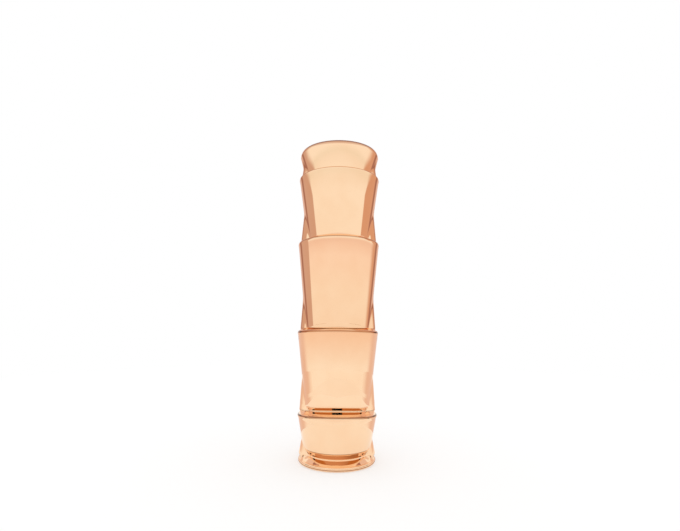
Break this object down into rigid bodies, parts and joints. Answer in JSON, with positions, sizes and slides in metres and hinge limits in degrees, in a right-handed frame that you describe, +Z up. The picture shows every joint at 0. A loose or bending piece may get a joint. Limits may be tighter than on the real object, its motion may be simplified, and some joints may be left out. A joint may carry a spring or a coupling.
{
  "type": "lipstick case",
  "caption": "Tall metal case of stacked flared round tiers, with a pull-off cap, a lift-out refill and a twist-up bullet.",
  "frame": {"origin": "centre of the foot's flat underside, on the case's axis", "axes": "+Z up along the case's axis, -Y towards the front of the case, +X to its right side"},
  "size_m": [0.024, 0.024, 0.0918],
  "materials": {
    "case_gold": "mirror-polished rose gold",
    "sleeve_gold": "polished rose-gold anodised",
    "cup_gold": "satin gold anodised",
    "plate_gold": "satin rose gold",
    "steel": "turned steel",
    "magnet_nickel": "nickel-plated magnet",
    "black_plastic": "fine moulded texture",
    "liner_plastic": "smooth moulded",
    "clip_plastic": "natural acetal",
    "inner_plastic": "smooth moulded",
    "spiral_plastic": "smooth moulded",
    "silicone": "matte silicone",
    "label_film": "blank satin film",
    "wax": "satin moulded wax"
  },
  "bodies": {
    "base": {"base_shell": "case_gold", "base_plate": "plate_gold", "base_label": "label_film", "base_weight": "steel", "base_magnet": "magnet_nickel", "base_holder": "black_plastic"},
    "cap": {"cap_shell": "case_gold", "cap_liner": "liner_plastic", "cap_clip_ring": "clip_plastic", "cap_weight": "steel"},
    "refill": {"refill_foot": "black_plastic", "refill_keeper": "steel", "inner_body": "inner_plastic"},
    "sleeve": {"outer_sleeve": "sleeve_gold", "spiral_sleeve": "spiral_plastic", "drag_ring": "silicone"},
    "bullet": {"bullet_cup": "cup_gold", "bullet": "wax"}
  },
  "joints": [
    {"name": "cap_pull", "type": "slide", "parent": "base", "child": "cap", "axis": [0, 0, 1], "range_m": [0, 0.07]},
    {"name": "refill_pull", "type": "slide", "parent": "base", "child": "refill", "axis": [0, 0, 1], "range_m": [0, 0.0115]},
    {"name": "sleeve_twist", "type": "hinge", "parent": "refill", "child": "sleeve", "pos_m": [0, 0, 0.01605], "axis": [0, 0, 1], "range_deg": [0, 540]},
    {"name": "cup_lift", "type": "slide", "parent": "refill", "child": "bullet", "axis": [0, 0, 1], "range_m": [0, 0.0225]}
  ],
  "couplings": [
    {"joint": "cup_lift", "follows": "sleeve_twist", "m_per_rad": 0.0023873}
  ]
}
